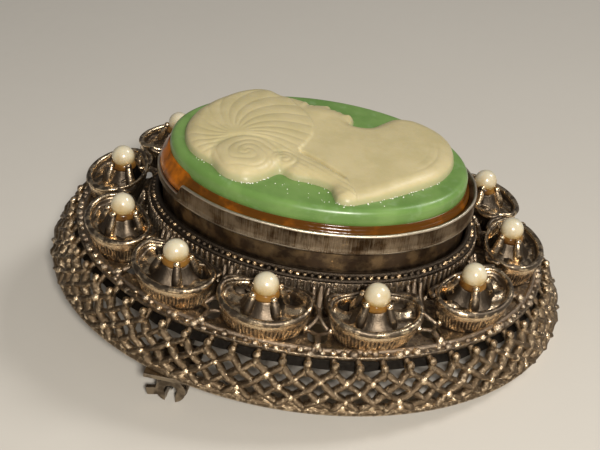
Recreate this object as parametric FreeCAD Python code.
"""Oval cameo pill-box brooch: a hinged cameo lid over a pill cup, held in a pearl-set openwork frame.

Lengths are millimetres. Every piece is drawn in the brooch's own frame: z = 0 is the plane of the
openwork rim, +Z is up through the cameo, X is the long axis with the head of the bust at -X, and the
lid's hinge is at the back, +Y. The finished pieces are then leaned about Y and lifted, because the
brooch stands on a table on its two pin findings and one end of its rim, and that is how it is stored:
the origin ends up on the table under the centre of the rim.
"""
import FreeCAD, Part
import math
import os

Vector = FreeCAD.Vector
X_AXIS = Vector(1, 0, 0)
Y_AXIS = Vector(0, 1, 0)
Z_AXIS = Vector(0, 0, 1)

# ---- Driving dimensions -------------------------------------------------------------------------
# Ovals are pairs: half length along X, half width along Y.
CAMEO_OVAL = (15.0, 11.0)            # a standard 30 x 22 cameo
BAND_WALL = 0.8
BAND_OVAL = (16.25, 12.3)            # outside of the lid's bezel band
BAND_INNER_OVAL = (BAND_OVAL[0] - BAND_WALL, BAND_OVAL[1] - BAND_WALL)
CUP_OVAL = (15.6, 11.6)              # outside of the pill cup
CUP_WALL = 0.8
CUP_INNER_OVAL = (CUP_OVAL[0] - CUP_WALL, CUP_OVAL[1] - CUP_WALL)
COLLAR_OVAL = (16.9, 12.8)           # outside of the crown's collar
CROWN_OVAL = (24.3, 19.8)            # outside of the crown's plate
RIM_OVAL = (27.0, 22.4)              # outermost line of the rope rim
SETTING_OVAL = (20.5, 16.3)          # the cups' centres
PEARL_OVAL = (20.3, 16.6)            # the pearls' centres

RIM_WIRE_R = 0.55
SKIRT_WALL = 0.7
SKIRT_TOP_OVAL = (23.9, 19.4)
SKIRT_FLARE = (                      # how far it bulges past its top along X and along Y, and the height
    (2.7, 2.6, 1.1),
    (2.1, 2.05, 2.5),
    (1.2, 1.15, 3.8),
    (0.0, 0.0, 4.6),
)
DIAMOND_COUNT = 62                   # piercings round the skirt
DIAMOND_HALF_WIDTH = 0.75
DIAMOND_Z = (1.7, 2.6, 3.5)          # foot, widest line and top of a piercing
CROWN_Z = (4.6, 5.0)                 # underside and top of the crown's plate
COLLAR_WALL = (0.8, 0.7)             # its thickness at the ends and at the sides
COLLAR_TOP_Z = 7.8
BEAD_WIRE_R = 0.4
CUP_FLOOR_Z = (3.0, 3.8)
CUP_MOUTH_Z = 10.62
CUP_FLANGE_WIDTH = 1.7
CUP_FLANGE_T = 0.4
LID_Z = 10.7                         # underside of the lid
TRAY_TOP_Z = 11.4
BAND_TOP_Z = 12.9
BAND_NOTCH_X = -11.8                 # the band is cut down to a low lip beyond here
BAND_NOTCH_LIP = 0.8
BAND_NOTCH_R = 0.6
LID_RIM_GAP = 0.12                   # between the lid's locating rim and the inside of the cup
LID_RIM_WALL = 0.6
LID_RIM_DROP = 0.9
PLAQUE_EDGE_R = 0.7
CEMENT_TOP_Z = 12.8
PLAQUE_Z = (12.8, 14.7)
RELIEF_TOP_Z = 16.3
RELIEF_MASSES = (                    # half length, half width and share of the height, then the middle
    (6.6, 8.4, 1.0, -6.7, 0.2),      # head and hair
    (4.8, 6.4, 0.8, 0.4, 0.0),       # neck
    (6.2, 9.0, 0.9, 7.2, -0.2),      # shoulders
)

WINDOW_SIZE = (3.0, 1.8, 2.0)        # opening in the crown between two cups
WINDOW_OUT = 0.2                     # its middle, outside the cups' oval
WINDOW_CORNER_R = 0.6

SETTING_COUNT = 12
SETTING_BASE_HALF = (2.75, 3.7)      # half depth outwards, half width along the ring
SETTING_MOUTH_HALF = (3.35, 4.4)
SETTING_WALL = 0.5
SETTING_LIP_Z = (7.3, 8.3)           # height of a cup's lip at its outer and its inner edge
PEARL_R = 1.2
PEARL_Z = 9.45
PRONG_R = 0.22
PRONG_BALL_R = 0.4
PRONG_FOOT = (0.55, 7.2)             # how far out of the post a prong springs, and at what height
SEAT_POST_R = 0.8
SEAT_TOP_Z = 8.0
PEARL_CEMENT_R = 0.72
PEARL_CEMENT_H = 0.9

HINGE_Y = 13.25
HINGE_Z = 10.9
HINGE_PIN_R = 0.38
HINGE_BORE_R = 0.43
KNUCKLE_R = 0.8
KNUCKLE_GAP = 0.1
LID_KNUCKLE_HALF = 1.6               # half length of the middle knuckle
HINGE_HALF = 4.0                     # half length of the three knuckles together
HINGE_HEAD = (0.6, 0.3)              # radius and thickness of the pin's peened ends
LEAF_Z = (9.5, 10.45)                # the cup's hinge leaf, foot and top
LEAF_INNER_Y = 11.0
LID_LEAF_INNER_Y = 11.5
LID_LEAF_T = 0.8
LID_LEAF_Z = 10.75

FINDING_X = -9.1                     # the pin runs across the brooch nearer the head
PIN_Z = -2.75
PIN_R = 0.40
PIN_JOINT_Y = 19.2
CATCH_Y = (-19.1, -16.9)             # front and back of the catch's barrel
CATCH_R = 1.55
CATCH_BORE_R = 1.15
ROLLER_R = 1.10
ROLLER_BORE_R = 0.62
ENTRY_WIDTH = 1.0                    # slot the pin drops through
FINDING_PLATE_T = 0.45
FINDING_PLATE_WIDTH = 4.6
CATCH_PLATE_REACH = (1.75, 1.2)      # how far the catch's plate runs in front of and behind its barrel
CATCH_NECK = (1.6, 2.0)              # width and height of the neck between barrel and plate
CATCH_COLLAR_R = 1.45
CATCH_COLLAR_T = 0.45
CATCH_END_GAP = 0.08
LEVER_SIZE = (2.4, 0.45, 0.9)
LEVER_TILT = -14                     # degrees about the barrel's axis
EAR_R = 1.39
EAR_T = 0.5
EYE_R = 1.1
EYE_T = 1.1
EYE_GAP = 0.06                       # each side, between the eye and an ear
JOINT_PLATE_REACH = (1.8, 1.4)
RIVET_R = 0.38
RIVET_BORE_R = 0.42
RIVET_HEAD = (0.65, 0.3)             # radius and thickness
PIN_ROOT_R = 0.54
PIN_ROOT_REACH = (0.6, 3.2)          # the thick root starts and ends this far in front of the rivet
PIN_TIP_R = 0.12
PIN_TIP_BACK = 1.5                   # the taper starts this far behind the barrel
PIN_TIP_REACH = 0.3                  # the point comes this far through the barrel

PIECES = {}


# ---- Shapes -------------------------------------------------------------------------------------
def oval_wire(oval, z):
    """A horizontal oval, given by its two half axes, at a height."""
    return Part.Wire(Part.Ellipse(Vector(0, 0, z), oval[0], oval[1]).toShape())


def oval_block(oval, z_low, z_high):
    """A solid oval slab between two heights."""
    return Part.Face(oval_wire(oval, z_low)).extrude(Vector(0, 0, z_high - z_low))


def oval_ring(outer, inner, z_low, z_high):
    """An upright oval band."""
    return oval_block(outer, z_low, z_high).cut(oval_block(inner, z_low, z_high))


def oval_tube(oval, z, radius):
    """A round wire bent into an oval, as two joined halves."""
    start = Vector(oval[0], 0, z)
    section = Part.Wire(Part.Circle(start, Y_AXIS, radius).toShape())
    return Part.Solid(Part.Wire(oval_wire(oval, z)).makePipeShell([section], True, True))


def oval_loft(rows):
    """A solid through a stack of ovals, each given as half length, half width and height."""
    return Part.makeLoft([oval_wire((a, b), z) for a, b, z in rows], True, False)


def round_bar(start, end, radius):
    """A straight round bar from one point to another."""
    along = end.sub(start)
    return Part.makeCylinder(radius, along.Length, start, along)


def centred_box(size, centre):
    """A block by its size and its middle."""
    corner = Vector(centre.x - size[0] / 2, centre.y - size[1] / 2, centre.z - size[2] / 2)
    return Part.makeBox(size[0], size[1], size[2], corner)


def egg(half, centre):
    """A solid with three different half axes."""
    stretch = FreeCAD.Matrix()
    stretch.scale(half[0], half[1], half[2])
    shape = Part.makeSphere(1.0).transformGeometry(stretch)
    shape.translate(centre)
    return shape


def join(shapes):
    """One solid from several that overlap."""
    return shapes[0].multiFuse(shapes[1:])


def setting_angle(index):
    """Where a setting stands on its oval: even steps along the ring, a little uneven as hand-set."""
    even = math.pi + 2 * math.pi * index / SETTING_COUNT
    along_ring = math.radians(2.7) * math.sin(2 * even)
    hand_set = math.radians(1.8) * math.cos(2 * even) - math.radians(2.5)
    return even + along_ring + hand_set


def oval_point(oval, angle, z):
    """A point on an oval."""
    return Vector(oval[0] * math.cos(angle), oval[1] * math.sin(angle), z)


def outward_turn(oval, angle):
    """The turn about Z that points local +X straight out of an oval, in degrees."""
    return math.degrees(math.atan2(math.sin(angle) / oval[1], math.cos(angle) / oval[0]))


def set_on_ring(shape, oval, index):
    """A piece drawn at the origin, facing +X, moved to its setting."""
    angle = setting_angle(index)
    placed = shape.copy()
    placed.rotate(Vector(0, 0, 0), Z_AXIS, outward_turn(oval, angle))
    placed.translate(oval_point(oval, angle, 0))
    return placed


# ---- Openwork frame -----------------------------------------------------------------------------
def build_rim():
    """The rope rim that closes the foot of the skirt."""
    centre = (RIM_OVAL[0] - RIM_WIRE_R, RIM_OVAL[1] - RIM_WIRE_R)
    PIECES["rope_rim"] = oval_tube(centre, RIM_WIRE_R, RIM_WIRE_R)


def build_skirt():
    """The bulging openwork skirt, pierced all round with a row of diamonds."""
    top_a, top_b = SKIRT_TOP_OVAL
    rows = [(top_a + flare_a, top_b + flare_b, z) for flare_a, flare_b, z in SKIRT_FLARE]
    outer = oval_loft(rows)
    inner = oval_loft([(a - SKIRT_WALL, b - SKIRT_WALL, z) for a, b, z in rows])
    shell = outer.cut(inner)
    z_low, z_mid, z_high = DIAMOND_Z
    corners = [
        Vector(0, 0, z_low),
        Vector(0, DIAMOND_HALF_WIDTH, z_mid),
        Vector(0, 0, z_high),
        Vector(0, -DIAMOND_HALF_WIDTH, z_mid),
    ]
    through = Vector(SKIRT_FLARE[0][0] + 1, 0, 0)
    diamond = Part.Face(Part.makePolygon(corners + corners[:1])).extrude(through)
    cutters = []
    for index in range(DIAMOND_COUNT):
        angle = 2 * math.pi * index / DIAMOND_COUNT
        cutter = diamond.copy()
        cutter.rotate(Vector(0, 0, 0), Z_AXIS, outward_turn(SKIRT_TOP_OVAL, angle))
        cutter.translate(oval_point(SKIRT_TOP_OVAL, angle, 0))
        cutters.append(cutter)
    PIECES["openwork_skirt"] = shell.cut(Part.makeCompound(cutters))


def build_crown():
    """The flat crown under the cups, with a window between each pair and a collar round the pill cup."""
    hole = (COLLAR_OVAL[0] - COLLAR_WALL[0], COLLAR_OVAL[1] - COLLAR_WALL[1])
    plate = oval_ring(CROWN_OVAL, hole, CROWN_Z[0], CROWN_Z[1])
    collar = oval_ring(COLLAR_OVAL, hole, CROWN_Z[1], COLLAR_TOP_Z)
    window = centred_box(WINDOW_SIZE, Vector(WINDOW_OUT, 0, CROWN_Z[0]))
    upright = [edge for edge in window.Edges if edge.BoundBox.ZLength > 1]
    window = window.makeFillet(WINDOW_CORNER_R, upright)
    windows = []
    for index in range(SETTING_COUNT):
        angle = (setting_angle(index) + setting_angle(index + 1)) / 2
        cutter = window.copy()
        cutter.rotate(Vector(0, 0, 0), Z_AXIS, outward_turn(SETTING_OVAL, angle))
        cutter.translate(oval_point(SETTING_OVAL, angle, 0))
        windows.append(cutter)
    PIECES["crown_plate"] = plate.cut(Part.makeCompound(windows)).fuse(collar).removeSplitter()


def build_bead_wire():
    """The beaded wire lying on the collar, round the foot of the lid."""
    centre = (COLLAR_OVAL[0] - BEAD_WIRE_R, COLLAR_OVAL[1] - BEAD_WIRE_R)
    PIECES["beaded_wire"] = oval_tube(centre, COLLAR_TOP_Z + BEAD_WIRE_R, BEAD_WIRE_R)


# ---- Pearl settings -----------------------------------------------------------------------------
def oval_across(half, z):
    """An oval for one cup: half depth along local X, half width along local Y."""
    flat = oval_wire((half[1], half[0]), z)
    flat.rotate(Vector(0, 0, 0), Z_AXIS, 90)
    return flat


def scallop_cup():
    """One cup, flaring from its foot to a lip that slopes down outwards, open at the top."""
    foot_z = CROWN_Z[1]
    top_z = SETTING_LIP_Z[1] + 0.2
    outer = Part.makeLoft([oval_across(SETTING_BASE_HALF, foot_z), oval_across(SETTING_MOUTH_HALF, top_z)], True)
    inner_foot = [size - SETTING_WALL for size in SETTING_BASE_HALF]
    inner_mouth = [size - SETTING_WALL for size in SETTING_MOUTH_HALF]
    hollow = Part.makeLoft(
        [oval_across(inner_foot, foot_z + SETTING_WALL), oval_across(inner_mouth, top_z)], True
    )
    reach = SETTING_MOUTH_HALF[0]
    side = [
        Vector(reach, -6, SETTING_LIP_Z[0]),
        Vector(-reach, -6, SETTING_LIP_Z[1]),
        Vector(-reach - 1, -6, SETTING_LIP_Z[1] + 4),
        Vector(reach + 1, -6, SETTING_LIP_Z[1] + 4),
        Vector(reach + 1, -6, SETTING_LIP_Z[0]),
    ]
    above_lip = Part.Face(Part.makePolygon(side + side[:1])).extrude(Vector(0, 12, 0))
    return outer.cut(hollow).cut(above_lip)


def pearl_seat():
    """The post inside a cup with four ball-tipped prongs that hold the pearl."""
    floor_z = CROWN_Z[1] + SETTING_WALL
    parts = [Part.makeCylinder(SEAT_POST_R, SEAT_TOP_Z - floor_z, Vector(0, 0, floor_z))]
    tip_reach = PEARL_R + PRONG_BALL_R - 0.1
    for quarter in range(4):
        turn = math.radians(45 + 90 * quarter)
        out = Vector(math.cos(turn), math.sin(turn), 0)
        foot = out * PRONG_FOOT[0] + Vector(0, 0, PRONG_FOOT[1])
        tip = out * tip_reach + Vector(0, 0, PEARL_Z - 0.3)
        parts.append(round_bar(foot, tip, PRONG_R))
        parts.append(Part.makeSphere(PRONG_BALL_R, tip))
    pearl = Part.makeSphere(PEARL_R, Vector(0, 0, PEARL_Z))
    return join(parts).cut(pearl)


def build_settings():
    """Twelve cups, twelve pearls, and the prongs and cement that hold them."""
    cup = scallop_cup()
    seat = pearl_seat()
    pearl = Part.makeSphere(PEARL_R, Vector(0, 0, PEARL_Z))
    cement = Part.makeCylinder(PEARL_CEMENT_R, PEARL_CEMENT_H, Vector(0, 0, SEAT_TOP_Z))
    cement = cement.cut(pearl).cut(seat)
    seats = []
    cements = []
    for index in range(SETTING_COUNT):
        name = f"{index + 1:02d}"
        PIECES["scallop_cup_" + name] = set_on_ring(cup, SETTING_OVAL, index)
        PIECES["pearl_" + name] = set_on_ring(pearl, PEARL_OVAL, index)
        seats.append(set_on_ring(seat, PEARL_OVAL, index))
        cements.append(set_on_ring(cement, PEARL_OVAL, index))
    PIECES["pearl_prongs"] = Part.makeCompound(seats)
    PIECES["pearl_cement"] = Part.makeCompound(cements)


# ---- Pill cup and lid ---------------------------------------------------------------------------
def build_pill_cup():
    """The oval cup for the pills, with a flange soldered under the crown."""
    body = oval_block(CUP_OVAL, CUP_FLOOR_Z[0], CUP_MOUTH_Z)
    hollow = oval_block(CUP_INNER_OVAL, CUP_FLOOR_Z[1], CUP_MOUTH_Z + 1)
    flange_oval = (CUP_OVAL[0] + CUP_FLANGE_WIDTH, CUP_OVAL[1] + CUP_FLANGE_WIDTH)
    flange = oval_ring(flange_oval, CUP_OVAL, CROWN_Z[0] - CUP_FLANGE_T, CROWN_Z[0])
    PIECES["pill_cup"] = body.cut(hollow).fuse(flange)


def knuckle(x_low, x_high):
    """A length of hinge tube."""
    tube = Part.makeCylinder(KNUCKLE_R, x_high - x_low, Vector(x_low, HINGE_Y, HINGE_Z), X_AXIS)
    bore = Part.makeCylinder(HINGE_BORE_R, x_high - x_low, Vector(x_low, HINGE_Y, HINGE_Z), X_AXIS)
    return tube, bore


def build_hinge():
    """Two knuckles on the pill cup, one on the lid between them, and the pin through all three."""
    leaves = []
    leaf_height = LEAF_Z[1] - LEAF_Z[0]
    for side in (-1, 1):
        x_low, x_high = sorted((side * (LID_KNUCKLE_HALF + KNUCKLE_GAP), side * HINGE_HALF))
        tube, bore = knuckle(x_low, x_high)
        corner = Vector(x_low, LEAF_INNER_Y, LEAF_Z[0])
        leaf = Part.makeBox(x_high - x_low, HINGE_Y - LEAF_INNER_Y, leaf_height, corner)
        under_cup = oval_block(CUP_OVAL, LEAF_Z[0] - 1, LEAF_Z[1] + 1)
        leaves.append(tube.fuse(leaf.cut(under_cup)).cut(bore))
    PIECES["cup_knuckles"] = Part.makeCompound(leaves)
    tube, bore = knuckle(-LID_KNUCKLE_HALF, LID_KNUCKLE_HALF)
    corner = Vector(-LID_KNUCKLE_HALF, LID_LEAF_INNER_Y, LID_LEAF_Z)
    leaf = Part.makeBox(2 * LID_KNUCKLE_HALF, HINGE_Y - LID_LEAF_INNER_Y, LID_LEAF_T, corner)
    inside_band = oval_block(BAND_OVAL, LID_Z - 1, BAND_TOP_Z + 1)
    PIECES["lid_knuckle"] = tube.fuse(leaf.cut(inside_band)).cut(bore).cut(inside_band)
    head_r, head_t = HINGE_HEAD
    start = Vector(-HINGE_HALF - head_t, HINGE_Y, HINGE_Z)
    pin = Part.makeCylinder(HINGE_PIN_R, 2 * (HINGE_HALF + head_t), start, X_AXIS)
    heads = [
        Part.makeCylinder(head_r, head_t, start, X_AXIS),
        Part.makeCylinder(head_r, head_t, Vector(HINGE_HALF, HINGE_Y, HINGE_Z), X_AXIS),
    ]
    PIECES["hinge_pin"] = join([pin] + heads)


def build_lid():
    """The lid: a tray with a locating rim below, and the bezel band, cement and cameo above."""
    PIECES["lid_tray"] = oval_block(BAND_INNER_OVAL, LID_Z, TRAY_TOP_Z)
    rim_outer = (CUP_INNER_OVAL[0] - LID_RIM_GAP, CUP_INNER_OVAL[1] - LID_RIM_GAP)
    rim_inner = (rim_outer[0] - LID_RIM_WALL, rim_outer[1] - LID_RIM_WALL)
    PIECES["lid_rim"] = oval_ring(rim_outer, rim_inner, LID_Z - LID_RIM_DROP, LID_Z)
    band = oval_ring(BAND_OVAL, BAND_INNER_OVAL, LID_Z, BAND_TOP_Z)
    notch_z = LID_Z + BAND_NOTCH_LIP
    notch = Part.makeBox(8, 24, 4, Vector(BAND_NOTCH_X - 8, -12, notch_z))
    corner = [edge for edge in notch.Edges if edge.BoundBox.XMin > BAND_NOTCH_X - 0.01]
    corner = [edge for edge in corner if edge.BoundBox.ZMax < notch_z + 0.01]
    PIECES["bezel_band"] = band.cut(notch.makeFillet(BAND_NOTCH_R, corner))
    PIECES["cameo_cement"] = oval_block(BAND_INNER_OVAL, TRAY_TOP_Z, CEMENT_TOP_Z)
    plaque = oval_block(CAMEO_OVAL, PLAQUE_Z[0], PLAQUE_Z[1])
    top_edges = [edge for edge in plaque.Edges if edge.BoundBox.ZMin > PLAQUE_Z[1] - 0.01]
    PIECES["cameo_plaque"] = plaque.makeFillet(PLAQUE_EDGE_R, top_edges)


def build_relief():
    """The bust in low relief: head and hair towards -X, neck, and draped shoulders towards +X."""
    base_z = PLAQUE_Z[1]
    rise = RELIEF_TOP_Z - base_z
    masses = [egg((a, b, rise * share), Vector(x, y, base_z)) for a, b, share, x, y in RELIEF_MASSES]
    below = Part.makeBox(40, 40, 4, Vector(-20, -20, base_z - 4))
    PIECES["cameo_relief"] = join(masses).cut(below)


# ---- Pin-back findings --------------------------------------------------------------------------
def finding_plate(y_low, y_high):
    """The small plate that solders a finding under the rim."""
    corner = Vector(FINDING_X - FINDING_PLATE_WIDTH / 2, y_low, -FINDING_PLATE_T)
    return Part.makeBox(FINDING_PLATE_WIDTH, y_high - y_low, FINDING_PLATE_T, corner)


def entry_slot(y_low, length):
    """The slot the pin drops through, open downwards."""
    corner = Vector(FINDING_X - ENTRY_WIDTH / 2, y_low, PIN_Z - 2 * CATCH_R)
    return Part.makeBox(ENTRY_WIDTH, length, 2 * CATCH_R, corner)


def along_pin(radius, y_low, length):
    """A round block on the line of the pin."""
    return Part.makeCylinder(radius, length, Vector(FINDING_X, y_low, PIN_Z), Y_AXIS)


def across_pin(radius, x_low, length):
    """A round block on the line of the rivet."""
    return Part.makeCylinder(radius, length, Vector(x_low, PIN_JOINT_Y, PIN_Z), X_AXIS)


def build_catch():
    """The safety catch: a barrel with a slot in its underside, and a slotted roller inside it."""
    y_low, y_high = CATCH_Y
    length = y_high - y_low
    neck_z = -FINDING_PLATE_T / 2 - CATCH_NECK[1]
    neck_corner = Vector(FINDING_X - CATCH_NECK[0] / 2, y_low, neck_z)
    neck = Part.makeBox(CATCH_NECK[0], length, CATCH_NECK[1], neck_corner)
    plate = finding_plate(y_low - CATCH_PLATE_REACH[0], y_high + CATCH_PLATE_REACH[1])
    barrel = join([plate, neck, along_pin(CATCH_R, y_low, length)])
    barrel = barrel.cut(along_pin(CATCH_BORE_R, y_low, length)).cut(entry_slot(y_low, length))
    PIECES["catch_barrel"] = barrel.removeSplitter()

    nose_y = y_low - CATCH_END_GAP - CATCH_COLLAR_T
    turned = along_pin(ROLLER_R, nose_y, y_high - nose_y)
    collar = along_pin(CATCH_COLLAR_R, nose_y, CATCH_COLLAR_T)
    lever_corner = Vector(FINDING_X - LEVER_SIZE[0], nose_y, PIN_Z - LEVER_SIZE[2] / 2)
    lever = Part.makeBox(LEVER_SIZE[0], LEVER_SIZE[1], LEVER_SIZE[2], lever_corner)
    lever.rotate(Vector(FINDING_X, nose_y, PIN_Z), Y_AXIS, LEVER_TILT)
    roller = join([turned, collar, lever])
    roller = roller.cut(along_pin(ROLLER_BORE_R, nose_y - 1, y_high - nose_y + 2))
    PIECES["catch_roller"] = roller.cut(entry_slot(nose_y - 1, y_high - nose_y + 2))


def build_pin():
    """The pin stem with its flat eye, riveted between two ears."""
    half = EYE_T / 2 + EYE_GAP + EAR_T
    rivet_bore = across_pin(RIVET_BORE_R, FINDING_X - half - 1, 2 * half + 2)
    plate = finding_plate(PIN_JOINT_Y - JOINT_PLATE_REACH[0], PIN_JOINT_Y + JOINT_PLATE_REACH[1])
    ears = []
    for x_low in (FINDING_X - half, FINDING_X + half - EAR_T):
        ears.append(across_pin(EAR_R, x_low, EAR_T))
        corner = Vector(x_low, PIN_JOINT_Y - EAR_R, PIN_Z)
        ears.append(Part.makeBox(EAR_T, 2 * EAR_R, -PIN_Z - FINDING_PLATE_T / 2, corner))
    PIECES["pin_joint"] = join([plate] + ears).cut(rivet_bore).removeSplitter()

    head_r, head_t = RIVET_HEAD
    shank = across_pin(RIVET_R, FINDING_X - half - head_t, 2 * (half + head_t))
    heads = [
        across_pin(head_r, FINDING_X - half - head_t, head_t),
        across_pin(head_r, FINDING_X + half, head_t),
    ]
    PIECES["pin_rivet"] = join([shank] + heads)

    eye = across_pin(EYE_R, FINDING_X - EYE_T / 2, EYE_T)
    root_y = PIN_JOINT_Y - PIN_ROOT_REACH[0]
    stem_y = PIN_JOINT_Y - PIN_ROOT_REACH[1]
    taper_y = CATCH_Y[1] + PIN_TIP_BACK
    tip_y = CATCH_Y[0] - PIN_TIP_REACH
    forward = Vector(0, -1, 0)
    root = Part.makeCone(PIN_ROOT_R, PIN_R, root_y - stem_y, Vector(FINDING_X, root_y, PIN_Z), forward)
    stem = round_bar(Vector(FINDING_X, stem_y, PIN_Z), Vector(FINDING_X, taper_y, PIN_Z), PIN_R)
    tip = Part.makeCone(PIN_R, PIN_TIP_R, taper_y - tip_y, Vector(FINDING_X, taper_y, PIN_Z), forward)
    PIECES["pin_stem"] = join([eye, root, stem, tip]).cut(rivet_bore)


# ---- Standing the brooch on the table -----------------------------------------------------------
def table_lean():
    """Lean about Y, in radians, that puts the catch, the pin joint and the +X end of the rim on a table."""
    rim_reach = RIM_OVAL[0] - RIM_WIRE_R
    reach = rim_reach - (FINDING_X + ENTRY_WIDTH / 2)
    drop = RIM_WIRE_R - PIN_Z + math.sqrt(CATCH_R ** 2 - (ENTRY_WIDTH / 2) ** 2)
    return math.atan2(drop, reach) - math.asin(RIM_WIRE_R / math.hypot(reach, drop))


def stand(shape, lean):
    """A piece as it stands on the table, leaned about the middle of the rim wire."""
    placed = shape.copy()
    placed.rotate(Vector(0, 0, RIM_WIRE_R), Y_AXIS, math.degrees(lean))
    placed.translate(Vector(0, 0, (RIM_OVAL[0] - RIM_WIRE_R) * math.sin(lean)))
    return placed


def main():
    """Draw every piece and write each to its own file."""
    build_rim()
    build_skirt()
    build_crown()
    build_bead_wire()
    build_settings()
    build_pill_cup()
    build_hinge()
    build_lid()
    build_relief()
    build_catch()
    build_pin()
    lean = table_lean()
    os.makedirs("parts", exist_ok=True)
    for name, shape in PIECES.items():
        placed = stand(shape, lean)
        placed.exportStep("parts/" + name + ".step")
        box = placed.BoundBox
        print(name, placed.isValid(), round(placed.Volume, 3), round(box.ZMin, 2), round(box.ZMax, 2))
    print("lean", round(math.degrees(lean), 4), "pieces", len(PIECES))


main()
